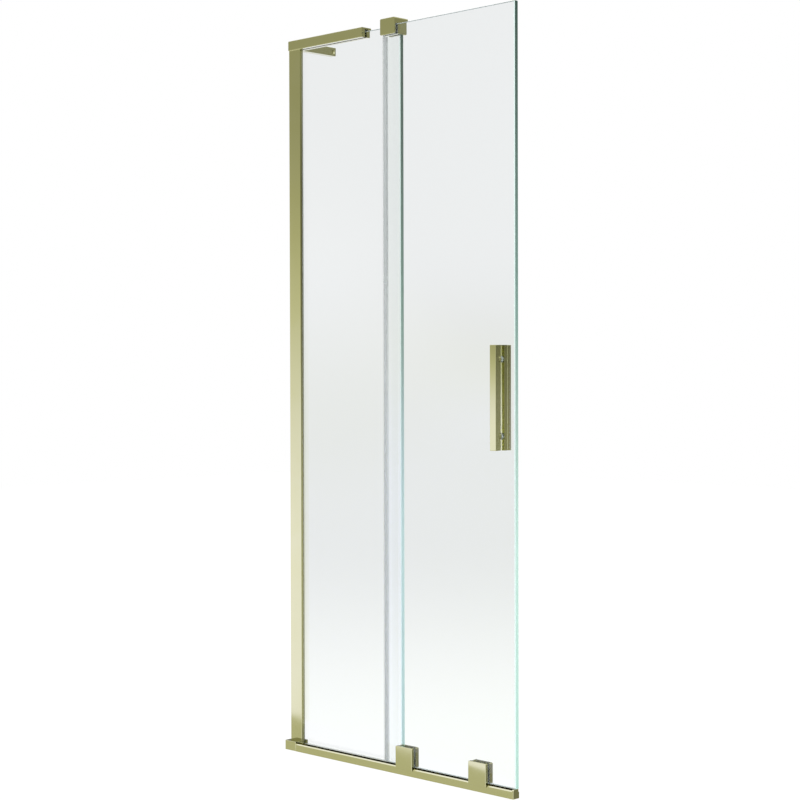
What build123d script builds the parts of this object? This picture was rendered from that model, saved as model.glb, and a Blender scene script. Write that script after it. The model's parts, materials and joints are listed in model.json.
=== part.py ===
"""Sliding bath screen: a fixed pane in a wall profile, and a sliding pane on two trolleys.

X runs from the wall along the screen, -Y is the room side, +Y is the bath side, and Z is up from the
rim of the bath. The sliding pane is centred on Y = 0. All sizes are in millimetres.
"""

from build123d import *
import os

os.makedirs("parts", exist_ok=True)

# Panes
screen_width = 650.0
pane_top = 1500.0
glass_thickness = 8.0
glass_arris = 0.6
pane_gap = 11.0
fixed_pane_edge = 332.4
pane_overlap = 34.4
fixed_pane_rise = 2.0
fixed_pane_bottom = 8.0
sliding_pane_bottom = 19.0

# Wall profile and the channel that it slides over
profile_width = 34.0
profile_depth = 22.0
profile_wall = 1.8
profile_round = 0.6
profile_web_from_wall = 18.0
profile_lip = 4.0
profile_lip_thickness = 2.0
glass_bite = 13.0
channel_wall = 1.6
channel_reach = 16.0
channel_clearance = 0.2
channel_top_gap = 4.0
wall_screw_hole_radius = 2.6
wall_screw_from_bottom = 230.0
wall_screw_from_top = 236.0
lock_screw_from_bottom = 100.0
lock_screw_from_top = 110.0
lock_screw_from_wall = 9.0
lock_screw_radius = 1.9
lock_screw_reach = 4.6
lock_head_radius = 3.4
lock_head_height = 1.8
lock_cap_radius = 5.4
lock_cap_height = 3.4
lock_cap_round = 1.4
gasket_bead = 0.5
gasket_tail = 5.0
gasket_barb = 0.4

# Header rail over the fixed pane, and the arm that ties it back to the wall
header_length = 226.0
header_depth = 27.0
header_height = 20.0
header_wall = 3.0
header_chamfer = 0.8
header_over_glass = 8.0
header_gasket_recess = 5.0
header_grub_from_wall = 60.0
header_grub_from_end = 36.0
header_grub_rise = 8.0
grub_radius = 2.4
grub_socket_radius = 1.2
grub_socket_depth = 1.5
hole_clearance = 0.1
arm_thickness = 16.0
arm_height = 18.0
arm_reach = 101.0
arm_chamfer = 0.8
arm_wall_hole_radius = 2.7
arm_wall_hole_from_end = 8.0
arm_countersink_radius = 5.2
arm_countersink_depth = 2.5
arm_screw_radius = 2.0
arm_screw_grip = 12.0
arm_screw_head_radius = 3.6
arm_screw_head_height = 2.5

# Guide block on the top corner of the fixed pane
guide_length = 41.0
guide_past_pane = 2.3
guide_pane_clearance = 0.3
guide_front_wall = 3.2
guide_middle_wall = 6.5
guide_rear_wall = 6.0
guide_drop = 21.0
guide_bridge = 12.0
guide_chamfer = 0.8
guide_corner = 3.0
guide_liner_thickness = 1.0
guide_liner_clearance = 0.3
guide_liner_inset = 0.5
guide_top_clearance = 1.5
guide_rear_pad = 1.0
guide_pad_inset = 1.0
guide_clamp_spacing = 20.0
guide_clamp_below_bridge = 11.0

# Bottom rail, its wall bracket, its end cap and its stops
rail_front = 9.0
rail_height = 16.0
rail_bevel = 2.0
rail_channel_width = 9.0
rail_floor = 3.0
rail_rear_wall = 1.5
rail_ledge_depth = 2.0
rail_ledge_height = 12.5
rail_skin = 1.5
rail_short_of_pane = 2.5
drain_slot_length = 12.0
drain_slot_height = 2.0
drain_slot_places = [150.0, 250.0, 400.0, 500.0]
bracket_width = 33.0
bracket_height = 20.0
bracket_round = 0.8
bracket_glass_clearance = 0.5
tongue_length = 12.0
tongue_clearance = 0.2
tongue_height = 10.0
rail_screw_radius = 2.0
rail_screw_grip = 6.0
rail_screw_head_radius = 3.2
rail_screw_head_height = 1.4
stop_from_tongue = 30.7
end_cap_thickness = 4.0
end_cap_rise = 2.0
stop_length = 10.0
stop_height = 10.0
stop_clearance = 0.2
bumper_thickness = 2.0
bumper_inset = 1.0
stop_gap = 0.3

# Trolleys under the sliding pane
trolley_from_pane_edge = 60.0
trolley_from_free_edge = 94.0
trolley_width = 46.0
trolley_front = 11.0
trolley_rear = 13.8
trolley_top = 57.0
trolley_skirt = 4.5
trolley_wall = 1.7
trolley_chamfer = 0.8
trolley_corner = 3.0
trolley_side_gap = 2.5
liner_thickness = 1.0
liner_seat = 0.8
liner_inset = 1.0
plate_over_rail = 0.4
plate_inset = 2.0
fork_half_length = 20.0
fork_cheek = 1.2
fork_gap = 5.0
fork_floor_gap = 2.0
fork_web_length = 13.0
wheel_radius = 5.5
wheel_width = 4.0
wheel_round = 0.5
wheel_from_centre = 13.0
wheel_floor_gap = 0.2
axle_radius = 1.5
axle_running_clearance = 0.05
axle_length = 8.2
clamp_screw_level = 38.0
clamp_screw_radius = 2.9
clamp_boss_radius = 6.0
clamp_head_radius = 4.9
clamp_head_height = 3.8
glass_bush_radius = 6.9
glass_bush_clearance = 0.1

# Pull handle through the sliding pane
handle_from_free_edge = 40.0
handle_level = 756.0
handle_length = 200.0
handle_width = 15.0
handle_depth = 10.5
handle_gap = 9.5
handle_chamfer = 0.6
handle_post_spacing = 146.0
handle_post_radius = 6.0
handle_washer_radius = 6.4
handle_washer_thickness = 0.8
handle_stud_radius = 3.0
handle_stud_grip = 6.5
handle_bush_radius = 4.6

# Seals on the panes
edge_seal_wall = 1.0
edge_seal_web = 1.4
edge_seal_leg = 8.2
edge_seal_fin_gap = 0.4
edge_seal_fin_lean = 3.2
edge_seal_below_guide = 2.5
floor_seal_wall = 1.6
floor_seal_height = 14.0
floor_seal_chamber_wall = 1.5

# Places that follow from the sizes above
half_glass = glass_thickness / 2
fixed_y = glass_thickness + pane_gap
fixed_front = fixed_y - half_glass
fixed_rear = fixed_y + half_glass
profile_front = fixed_y - profile_depth / 2
profile_rear = fixed_y + profile_depth / 2
fixed_pane_top = pane_top + fixed_pane_rise
header_top = fixed_pane_top + header_over_glass
header_bottom = header_top - header_height
header_front = fixed_y - header_depth / 2
header_rear = fixed_y + header_depth / 2
header_grub_level = header_bottom + header_grub_rise
header_grub_last = header_length - header_grub_from_end
header_grub_places = [header_grub_from_wall, (header_grub_from_wall + header_grub_last) / 2, header_grub_last]
channel_top = header_bottom - channel_top_gap
wall_screw_levels = [bracket_height + wall_screw_from_bottom, channel_top - wall_screw_from_top]
lock_screw_low = bracket_height + lock_screw_from_bottom
lock_screw_high = header_bottom - lock_screw_from_top
lock_screw_levels = [lock_screw_low, (lock_screw_low + lock_screw_high) / 2, lock_screw_high]
arm_bottom = header_top - arm_height
arm_end = header_rear + arm_reach
slot_half = half_glass + guide_liner_clearance + guide_liner_thickness
guide_end = fixed_pane_edge + guide_past_pane
guide_start = guide_end - guide_length
guide_front = -slot_half - guide_front_wall
guide_slot_rear = fixed_rear + guide_rear_pad
guide_rear = guide_slot_rear + guide_rear_wall
guide_bottom = fixed_pane_top - guide_drop
guide_top = fixed_pane_top + guide_bridge
guide_middle_end = slot_half + guide_middle_wall
rail_start = bracket_width
rail_end = screen_width - rail_short_of_pane - end_cap_thickness
channel_half = rail_channel_width / 2
rail_inner_rear = channel_half + rail_rear_wall
rail_rear = rail_inner_rear + rail_ledge_depth
sliding_pane_start = fixed_pane_edge - pane_overlap
trolley_places = {
    "left": sliding_pane_start + trolley_from_pane_edge,
    "right": screen_width - trolley_from_free_edge,
}
left_stop_face = rail_start + tongue_length + stop_from_tongue + stop_length + bumper_thickness
right_stop_face = trolley_places["right"] + fork_half_length + stop_gap
slide_travel = trolley_places["left"] - fork_half_length - stop_gap - left_stop_face
plate_bottom = rail_height + plate_over_rail
plate_top = sliding_pane_bottom - liner_seat
wheel_level = rail_floor + wheel_radius + wheel_floor_gap
handle_x = screen_width - handle_from_free_edge
handle_post_levels = [handle_level - handle_post_spacing / 2, handle_level + handle_post_spacing / 2]
handle_near = half_glass + handle_gap

parts = {}


def block(x, y, z):
    """A rectangular solid between three pairs of limits."""
    solid = Box(x[1] - x[0], y[1] - y[0], z[1] - z[0], align=(Align.MIN, Align.MIN, Align.MIN))
    return Pos(x[0], y[0], z[0]) * solid


def bar_along_x(outline, start, end):
    """A bar along X with an outline of (y, z) points."""
    face = Plane.YZ.offset(start) * Polygon(*outline, align=None)
    return extrude(face, end - start, dir=(1, 0, 0))


def bar_along_z(outline, bottom, top):
    """An upright bar with an outline of (x, y) points."""
    face = Plane.XY.offset(bottom) * Polygon(*outline, align=None)
    return extrude(face, top - bottom, dir=(0, 0, 1))


def rod_along_x(radius, y, z, start, end):
    return Pos((start + end) / 2, y, z) * Rot(0, 90, 0) * Cylinder(radius, end - start)


def rod_along_y(radius, x, z, start, end):
    return Pos(x, (start + end) / 2, z) * Rot(90, 0, 0) * Cylinder(radius, end - start)


def rod_along_z(radius, x, y, start, end):
    return Pos(x, y, (start + end) / 2) * Cylinder(radius, end - start)


def grub_along_y(x, z, inner, outer):
    """A grub screw with its socket at the outer end, on the bath side."""
    screw = rod_along_y(grub_radius, x, z, inner, outer)
    return screw - rod_along_y(grub_socket_radius, x, z, outer - grub_socket_depth, outer)


def wall_channel():
    """The U channel that is screwed to the wall, inside the wall profile."""
    half = profile_depth / 2 - profile_wall - channel_clearance
    inner = half - channel_wall
    outline = [
        (0, fixed_y - half),
        (channel_reach, fixed_y - half),
        (channel_reach, fixed_y - inner),
        (channel_wall, fixed_y - inner),
        (channel_wall, fixed_y + inner),
        (channel_reach, fixed_y + inner),
        (channel_reach, fixed_y + half),
        (0, fixed_y + half),
    ]
    channel = bar_along_z(outline, bracket_height, channel_top)
    for level in wall_screw_levels:
        channel -= rod_along_x(wall_screw_hole_radius, fixed_y, level, 0, channel_wall)
    for level in lock_screw_levels:
        channel -= lock_screw_hole(level)
    return channel


def lock_screw_hole(level):
    radius = lock_screw_radius + hole_clearance
    return rod_along_y(radius, lock_screw_from_wall, level, profile_rear - lock_screw_reach, profile_rear)


def wall_profile():
    """The upright that hides the channel and holds the edge of the fixed pane."""
    profile = block((0, profile_width), (profile_front, profile_rear), (bracket_height, header_bottom))
    profile = fillet(profile.edges().filter_by(Axis.Z).group_by(Axis.X)[-1], profile_round)
    inside = (profile_front + profile_wall, profile_rear - profile_wall)
    mouth = (inside[0] + profile_lip, inside[1] - profile_lip)
    height = (bracket_height, header_bottom)
    web_end = profile_web_from_wall + profile_wall
    lip_start = profile_width - profile_lip_thickness
    profile -= block((0, profile_web_from_wall), inside, height)
    profile -= block((web_end, lip_start), inside, height)
    profile -= block((lip_start, profile_width), mouth, height)
    for level in lock_screw_levels:
        profile -= lock_screw_hole(level)
    return profile


def lock_screws():
    screws = Part()
    for level in lock_screw_levels:
        x = lock_screw_from_wall
        screws += rod_along_y(lock_screw_radius, x, level, profile_rear - lock_screw_reach, profile_rear)
        screws += rod_along_y(lock_head_radius, x, level, profile_rear, profile_rear + lock_head_height)
    return screws


def lock_screw_caps():
    """Push-on caps over the heads of the lock screws."""
    caps = Part()
    for level in lock_screw_levels:
        x = lock_screw_from_wall
        cap = rod_along_y(lock_cap_radius, x, level, profile_rear, profile_rear + lock_cap_height)
        cap = fillet(cap.edges().group_by(Axis.Y)[-1], lock_cap_round)
        head_radius = lock_head_radius + hole_clearance
        head_height = lock_head_height + hole_clearance
        caps += cap - rod_along_y(head_radius, x, level, profile_rear, profile_rear + head_height)
    return caps


def glazing_gasket(side):
    """The rubber bead between a lip of the wall profile and the fixed pane; side is -1 or 1."""
    wall_face = profile_depth / 2 - profile_wall
    lip_end = wall_face - profile_lip
    lip_start = profile_width - profile_lip_thickness
    outline = [
        (profile_width + gasket_bead, half_glass),
        (profile_width + gasket_bead, lip_end - gasket_bead),
        (profile_width, lip_end),
        (lip_start, lip_end),
        (lip_start, wall_face - gasket_barb),
        (lip_start - profile_lip_thickness, wall_face - gasket_barb),
        (lip_start - gasket_tail, half_glass + gasket_bead),
        (lip_start - gasket_tail, half_glass),
    ]
    outline = [(x, fixed_y + side * y) for x, y in outline]
    return bar_along_z(outline, bracket_height, header_bottom)


def glass_pane(x, y, z):
    """A sheet of toughened glass with a small arris along every edge."""
    pane = block(x, y, z)
    return chamfer(pane.edges(), glass_arris)


def fixed_glass():
    x = (profile_width - glass_bite, fixed_pane_edge)
    return glass_pane(x, (fixed_front, fixed_rear), (fixed_pane_bottom, fixed_pane_top))


def fixed_glass_seal():
    """The clip-on seal under the fixed pane, with a hollow foot that rests on the bath."""
    front = fixed_front - floor_seal_wall
    rear = fixed_rear + floor_seal_wall
    outline = [
        (front, 0),
        (rear, 0),
        (rear, floor_seal_height),
        (fixed_rear, floor_seal_height),
        (fixed_rear, fixed_pane_bottom),
        (fixed_front, fixed_pane_bottom),
        (fixed_front, floor_seal_height),
        (front, floor_seal_height),
    ]
    seal = bar_along_x(outline, bracket_width, fixed_pane_edge)
    chamber_y = (front + floor_seal_chamber_wall, rear - floor_seal_chamber_wall)
    chamber_z = (floor_seal_chamber_wall, fixed_pane_bottom - floor_seal_chamber_wall)
    return seal - block((bracket_width, fixed_pane_edge), chamber_y, chamber_z)


def header_rail():
    """An upturned U channel that caps the fixed pane."""
    front = header_front
    rear = header_rear
    cut = header_chamfer
    inside_top = header_top - header_wall
    outline = [
        (front + cut, header_bottom),
        (front, header_bottom + cut),
        (front, header_top - cut),
        (front + cut, header_top),
        (rear - cut, header_top),
        (rear, header_top - cut),
        (rear, header_bottom + cut),
        (rear - cut, header_bottom),
        (rear - header_wall, header_bottom),
        (rear - header_wall, inside_top),
        (front + header_wall, inside_top),
        (front + header_wall, header_bottom),
    ]
    header = bar_along_x(outline, 0, header_length)
    for x in header_grub_places:
        header -= rod_along_y(grub_radius + hole_clearance, x, header_grub_level, rear - header_wall, rear)
    radius = arm_screw_radius + hole_clearance
    header -= rod_along_y(radius, arm_thickness / 2, arm_screw_level(), rear - header_wall, rear)
    return header


def arm_screw_level():
    return (arm_bottom + header_top - header_wall) / 2


def header_gasket():
    """Rubber packing between the header and the top of the fixed pane."""
    front = header_front + header_wall
    rear = header_rear - header_wall
    top = header_top - header_wall
    bottom = header_bottom + header_gasket_recess
    outline = [
        (front, bottom),
        (front, top),
        (rear, top),
        (rear, bottom),
        (fixed_rear, bottom),
        (fixed_rear, fixed_pane_top),
        (fixed_front, fixed_pane_top),
        (fixed_front, bottom),
    ]
    return bar_along_x(outline, profile_width - glass_bite, header_length - header_gasket_recess)


def header_grub_screws():
    screws = Part()
    for x in header_grub_places:
        screws += grub_along_y(x, header_grub_level, header_rear - header_wall, header_rear)
    return screws


def wall_arm():
    """The square bar that runs back along the wall from the header to a wall screw."""
    arm = block((0, arm_thickness), (header_rear, arm_end), (arm_bottom, header_top))
    arm = chamfer(arm.edges().filter_by(Axis.Y), arm_chamfer)
    arm = chamfer(arm.faces().sort_by(Axis.Y)[-1].edges(), arm_chamfer)
    hole_y = arm_end - arm_wall_hole_from_end
    hole_z = (arm_bottom + header_top) / 2
    arm -= rod_along_x(arm_wall_hole_radius, hole_y, hole_z, 0, arm_thickness)
    sink = Cone(arm_wall_hole_radius, arm_countersink_radius, arm_countersink_depth)
    arm -= Pos(arm_thickness - arm_countersink_depth / 2, hole_y, hole_z) * Rot(0, 90, 0) * sink
    radius = arm_screw_radius + hole_clearance
    grip_end = header_rear + arm_screw_grip
    return arm - rod_along_y(radius, arm_thickness / 2, arm_screw_level(), header_rear, grip_end)


def arm_screw():
    """The screw inside the header that holds the arm."""
    x = arm_thickness / 2
    inner = header_rear - header_wall
    grip = arm_screw_grip - hole_clearance
    screw = rod_along_y(arm_screw_radius, x, arm_screw_level(), inner, header_rear + grip)
    head = rod_along_y(arm_screw_head_radius, x, arm_screw_level(), inner - arm_screw_head_height, inner)
    socket_end = inner - arm_screw_head_height + grub_socket_depth
    socket = rod_along_y(grub_socket_radius, x, arm_screw_level(), inner - arm_screw_head_height, socket_end)
    return screw + head - socket


def guide_clamp_places():
    middle = (guide_start + guide_end) / 2
    return [middle - guide_clamp_spacing / 2, middle + guide_clamp_spacing / 2]


def rounded_across(solid, x):
    """The solid trimmed to the guide's outline as it is seen along Y, with rounded corners."""
    length = x[1] - x[0]
    height = guide_top - guide_bottom
    middle = Pos((x[0] + x[1]) / 2, guide_bottom + height / 2)
    outline = Plane.XZ * middle * RectangleRounded(length, height, guide_corner)
    return solid & extrude(outline, guide_rear - guide_front, both=True)


def top_guide_body():
    """The block with two slots: it grips the fixed pane and steadies the sliding one."""
    x = (guide_start, guide_end)
    body = block(x, (guide_front, guide_rear), (guide_bottom, guide_top))
    body = rounded_across(chamfer(body.edges().filter_by(Axis.X), guide_chamfer), x)
    slot_z = (guide_bottom, fixed_pane_top)
    body -= block(x, (-slot_half, slot_half), slot_z)
    grip_x = (guide_start, fixed_pane_edge + guide_pane_clearance)
    body -= block(grip_x, (guide_middle_end, guide_slot_rear), slot_z)
    level = fixed_pane_top - guide_clamp_below_bridge
    for x in guide_clamp_places():
        body -= rod_along_y(grub_radius + hole_clearance, x, level, guide_slot_rear, guide_rear)
    return body


def top_guide_liner():
    """The nylon U in which the top edge of the sliding pane runs."""
    inner = slot_half - guide_liner_thickness
    ceiling = pane_top + guide_top_clearance
    outline = [
        (-slot_half, guide_bottom),
        (-slot_half, fixed_pane_top),
        (slot_half, fixed_pane_top),
        (slot_half, guide_bottom),
        (inner, guide_bottom),
        (inner, ceiling),
        (-inner, ceiling),
        (-inner, guide_bottom),
    ]
    x = (guide_start + guide_liner_inset, guide_end - guide_liner_inset)
    return rounded_across(bar_along_x(outline, *x), x)


def guide_clamp_pads():
    """The rubber pads on each face of the fixed pane, inside the guide block."""
    x = (guide_start + guide_pad_inset, fixed_pane_edge)
    z = (guide_bottom + guide_pad_inset, fixed_pane_top)
    pads = Part() + block(x, (guide_middle_end, fixed_front), z)
    return pads + block(x, (fixed_rear, guide_slot_rear), z)


def guide_clamp_screws():
    screws = Part()
    level = fixed_pane_top - guide_clamp_below_bridge
    for x in guide_clamp_places():
        screws += grub_along_y(x, level, guide_slot_rear, guide_rear)
    return screws


def rail_screw_places():
    return [rail_start + tongue_length / 2, rail_end - tongue_length / 2]


def bottom_rail():
    """The track along the rim of the bath, with a bevelled front and an open wheel channel."""
    outline = [
        (-rail_front, 0),
        (-rail_front, rail_height - rail_bevel),
        (-rail_front + rail_bevel, rail_height),
        (-channel_half, rail_height),
        (-channel_half, rail_floor),
        (channel_half, rail_floor),
        (channel_half, rail_height),
        (rail_inner_rear, rail_height),
        (rail_inner_rear, rail_ledge_height),
        (rail_rear, rail_ledge_height),
        (rail_rear, 0),
    ]
    rail = bar_along_x(outline, rail_start, rail_end)
    chamber_y = (-rail_front + rail_skin, -channel_half - rail_skin)
    chamber_z = (rail_skin, rail_height - rail_bevel - rail_skin)
    rail -= block((rail_start, rail_end), chamber_y, chamber_z)
    for x in drain_slot_places:
        slot_x = (x - drain_slot_length / 2, x + drain_slot_length / 2)
        rail -= block(slot_x, (channel_half, rail_rear), (rail_floor, rail_floor + drain_slot_height))
    for x in rail_screw_places():
        rail -= rod_along_z(rail_screw_radius + hole_clearance, x, 0, 0, rail_floor)
        rail -= rod_along_z(rail_screw_head_radius + hole_clearance, x, 0, 0, rail_screw_head_height)
    return rail


def tongue(start, end):
    """The part of a bracket or cap that plugs into the wheel channel."""
    half = channel_half - tongue_clearance
    solid = block((start, end), (-half, half), (rail_floor, rail_floor + tongue_height))
    middle = (start + end) / 2
    radius = rail_screw_radius + hole_clearance
    return solid, rod_along_z(radius, middle, 0, rail_floor, rail_floor + rail_screw_grip)


def rail_wall_bracket():
    """The block at the wall that ends the rail and carries the wall profile."""
    body = block((0, bracket_width), (-rail_front, profile_rear), (0, bracket_height))
    body = fillet(body.faces().sort_by(Axis.Y)[0].edges(), bracket_round)
    slot_x = (profile_width - glass_bite - bracket_glass_clearance, bracket_width)
    slot_y = (fixed_front - bracket_glass_clearance, fixed_rear + bracket_glass_clearance)
    body -= block(slot_x, slot_y, (fixed_pane_bottom - bracket_glass_clearance, bracket_height))
    plug, hole = tongue(bracket_width, bracket_width + tongue_length)
    return body + plug - hole


def rail_end_cap():
    """The plate that closes the free end of the rail, a little taller than the rail."""
    top = rail_height + end_cap_rise
    outline = [
        (-rail_front, 0),
        (-rail_front, top - rail_bevel),
        (-rail_front + rail_bevel, top),
        (rail_inner_rear, top),
        (rail_inner_rear, rail_ledge_height),
        (rail_rear, rail_ledge_height),
        (rail_rear, 0),
    ]
    cap = bar_along_x(outline, rail_end, rail_end + end_cap_thickness)
    cap = fillet(cap.faces().sort_by(Axis.X)[-1].edges(), bracket_round)
    plug, hole = tongue(rail_end - tongue_length, rail_end)
    return cap + plug - hole


def rail_fixing_screws():
    """Screws from under the rail into the bracket and the end cap."""
    screws = Part()
    for x in rail_screw_places():
        top = rail_floor + rail_screw_grip - hole_clearance
        screw = rod_along_z(rail_screw_radius, x, 0, hole_clearance, top)
        screw += rod_along_z(rail_screw_head_radius, x, 0, hole_clearance, rail_screw_head_height)
        screws += screw
    return screws


def track_stop(face, side):
    """A stop block in the wheel channel; its bumper's face is at `face`, and side is -1 at the left."""
    near = face + side * bumper_thickness
    far = near + side * stop_length
    half = channel_half - stop_clearance
    stop = block(sorted((near, far)), (-half, half), (rail_floor, rail_floor + stop_height))
    middle = (near + far) / 2
    return stop - rod_along_z(grub_radius + hole_clearance, middle, 0, rail_floor, rail_floor + stop_height)


def track_stop_screws():
    screws = Part()
    for face, side in [(left_stop_face, -1), (right_stop_face, 1)]:
        x = face + side * (bumper_thickness + stop_length / 2)
        top = rail_floor + stop_height
        screw = rod_along_z(grub_radius, x, 0, rail_floor, top)
        screws += screw - rod_along_z(grub_socket_radius, x, 0, top - grub_socket_depth, top)
    return screws


def track_bumpers():
    """Rubber faces on the stops, which the trolleys meet at each end of the travel."""
    bumpers = Part()
    half = channel_half - stop_clearance - bumper_inset
    z = (rail_floor + bumper_inset, rail_floor + stop_height - bumper_inset)
    for face, side in [(left_stop_face, -1), (right_stop_face, 1)]:
        bumpers += block(sorted((face, face + side * bumper_thickness)), (-half, half), z)
    return bumpers


def moving_glass():
    pane = glass_pane(
        (sliding_pane_start, screen_width),
        (-half_glass, half_glass),
        (sliding_pane_bottom, pane_top),
    )
    for level in handle_post_levels:
        radius = handle_bush_radius + glass_bush_clearance
        pane -= rod_along_y(radius, handle_x, level, -half_glass, half_glass)
    for x in trolley_places.values():
        radius = glass_bush_radius + glass_bush_clearance
        pane -= rod_along_y(radius, x, clamp_screw_level, -half_glass, half_glass)
    return pane


def edge_seal():
    """The clear seal clipped on the sliding pane's edge, with a fin that wipes the fixed pane."""
    edge = sliding_pane_start
    outer = half_glass + edge_seal_wall
    tip = fixed_front - edge_seal_fin_gap
    leg_end = edge + edge_seal_leg
    outline = [
        (edge - edge_seal_web, -outer),
        (leg_end, -outer),
        (leg_end, -half_glass),
        (edge, -half_glass),
        (edge, half_glass),
        (leg_end, half_glass),
        (leg_end, outer),
        (edge, outer),
        (edge - edge_seal_fin_lean, tip),
        (edge - edge_seal_fin_lean - edge_seal_wall, tip),
        (edge - edge_seal_web, outer),
    ]
    return bar_along_z(outline, sliding_pane_bottom, guide_bottom - edge_seal_below_guide)


def trolley_front_shell(x):
    """The hollow cover on the room side, with a skirt that hangs over the rail's bevel."""
    half = trolley_width / 2
    back = half_glass + liner_thickness
    body_bottom = rail_height + trolley_side_gap
    skirt_bottom = rail_height - trolley_skirt
    shell = block((x - half, x + half), (-trolley_front, -back), (skirt_bottom, trolley_top))
    shell = fillet(shell.edges().filter_by(Axis.Y).group_by(Axis.Z)[-1], trolley_corner)
    shell = chamfer(shell.faces().sort_by(Axis.Y)[0].edges(), trolley_chamfer)
    under = (-trolley_front + trolley_wall, -back)
    shell -= block((x - half, x + half), under, (skirt_bottom, body_bottom))
    inside = half - trolley_wall
    inside_z = (body_bottom + trolley_wall, trolley_top - trolley_wall)
    shell -= block((x - inside, x + inside), under, inside_z)
    shell += rod_along_y(clamp_boss_radius, x, clamp_screw_level, under[0], -back)
    return shell - rod_along_y(clamp_screw_radius + hole_clearance, x, clamp_screw_level, under[0], -back)


def trolley_carriage(x):
    """The clamp plate on the bath side, with a seat under the pane and the fork for two wheels."""
    half = trolley_width / 2
    near = half_glass + liner_thickness
    plate = block((x - half, x + half), (near, trolley_rear), (plate_top, trolley_top))
    plate = fillet(plate.edges().filter_by(Axis.Y).group_by(Axis.Z)[-1], trolley_corner)
    plate = chamfer(plate.faces().sort_by(Axis.Y)[-1].edges(), trolley_chamfer)
    seat_half = half - plate_inset
    seat = block((x - seat_half, x + seat_half), (-near, near), (plate_bottom, plate_top))
    root_y = (near, trolley_rear - trolley_chamfer)
    root = block((x - seat_half, x + seat_half), root_y, (plate_bottom, plate_top))
    fork_bottom = rail_floor + fork_floor_gap
    cheek_inner = fork_gap / 2
    cheek_outer = cheek_inner + fork_cheek
    fork_x = (x - fork_half_length, x + fork_half_length)
    carriage = plate + seat + root
    carriage += block(fork_x, (-cheek_outer, -cheek_inner), (fork_bottom, plate_bottom))
    carriage += block(fork_x, (cheek_inner, cheek_outer), (fork_bottom, plate_bottom))
    web_x = (x - fork_web_length / 2, x + fork_web_length / 2)
    carriage += block(web_x, (-cheek_inner, cheek_inner), (fork_bottom, plate_bottom))
    for wheel_x in wheel_places(x):
        carriage -= rod_along_y(axle_radius, wheel_x, wheel_level, -cheek_outer, cheek_outer)
    shank_hole = clamp_screw_radius + hole_clearance
    carriage -= rod_along_y(shank_hole, x, clamp_screw_level, near, trolley_rear)
    head_hole = clamp_head_radius + hole_clearance
    head_start = trolley_rear - clamp_head_height - hole_clearance
    return carriage - rod_along_y(head_hole, x, clamp_screw_level, head_start, trolley_rear)


def wheel_places(x):
    return [x - wheel_from_centre, x + wheel_from_centre]


def trolley_liner(x):
    """The rubber U between the glass and the two halves of the clamp."""
    half = trolley_width / 2 - liner_inset
    outer = half_glass + liner_thickness
    top = trolley_top - liner_inset
    outline = [
        (-outer, plate_top),
        (-outer, top),
        (-half_glass, top),
        (-half_glass, sliding_pane_bottom),
        (half_glass, sliding_pane_bottom),
        (half_glass, top),
        (outer, top),
        (outer, plate_top),
    ]
    liner = bar_along_x(outline, x - half, x + half)
    return liner - rod_along_y(clamp_screw_radius + hole_clearance, x, clamp_screw_level, -outer, outer)


def glass_bush(x, level, radius, bore):
    """A nylon sleeve that keeps a screw off the edge of its hole in the glass."""
    sleeve = rod_along_y(radius, x, level, -half_glass, half_glass)
    return sleeve - rod_along_y(bore + hole_clearance, x, level, -half_glass, half_glass)


def clamp_screw(x):
    """The cap screw that pulls the two halves of a trolley together through the glass."""
    tip = -trolley_front + trolley_wall + hole_clearance
    head_start = trolley_rear - clamp_head_height - hole_clearance
    head_end = trolley_rear - hole_clearance
    screw = rod_along_y(clamp_screw_radius, x, clamp_screw_level, tip, head_start)
    screw += rod_along_y(clamp_head_radius, x, clamp_screw_level, head_start, head_end)
    socket = rod_along_y(grub_radius, x, clamp_screw_level, head_end - grub_socket_depth, head_end)
    return screw - socket


def axle_pins(x):
    pins = Part()
    for wheel_x in wheel_places(x):
        pins += rod_along_y(axle_radius, wheel_x, wheel_level, -axle_length / 2, axle_length / 2)
    return pins


def wheel(x):
    """A nylon wheel with rounded rims and a running bore."""
    tyre = rod_along_y(wheel_radius, x, wheel_level, -wheel_width / 2, wheel_width / 2)
    tyre = fillet(tyre.edges(), wheel_round)
    bore = axle_radius + axle_running_clearance
    return tyre - rod_along_y(bore, x, wheel_level, -wheel_width / 2, wheel_width / 2)


def handle_bar(side):
    """One flat bar of the pull handle; side is -1 for the room and 1 for the bath."""
    x = (handle_x - handle_width / 2, handle_x + handle_width / 2)
    y = sorted((side * handle_near, side * (handle_near + handle_depth)))
    z = (handle_level - handle_length / 2, handle_level + handle_length / 2)
    bar = chamfer(block(x, y, z).edges(), handle_chamfer)
    for level in handle_post_levels:
        ends = sorted((side * handle_near, side * (handle_near + handle_stud_grip)))
        bar -= rod_along_y(handle_stud_radius + hole_clearance, handle_x, level, *ends)
    return bar


def handle_posts(side):
    """The two round spacers between a bar and the glass."""
    posts = Part()
    ends = sorted((side * (half_glass + handle_washer_thickness), side * handle_near))
    for level in handle_post_levels:
        post = rod_along_y(handle_post_radius, handle_x, level, *ends)
        posts += post - rod_along_y(handle_stud_radius + hole_clearance, handle_x, level, *ends)
    return posts


def handle_washers():
    """Clear washers on each face of the glass, under the spacers."""
    washers = Part()
    for side in [-1, 1]:
        ends = sorted((side * half_glass, side * (half_glass + handle_washer_thickness)))
        for level in handle_post_levels:
            washer = rod_along_y(handle_washer_radius, handle_x, level, *ends)
            washers += washer - rod_along_y(handle_stud_radius + hole_clearance, handle_x, level, *ends)
    return washers


def handle_studs():
    """Threaded studs that join the two bars through the glass."""
    reach = handle_near + handle_stud_grip - hole_clearance
    studs = Part()
    for level in handle_post_levels:
        studs += rod_along_y(handle_stud_radius, handle_x, level, -reach, reach)
    return studs


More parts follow.
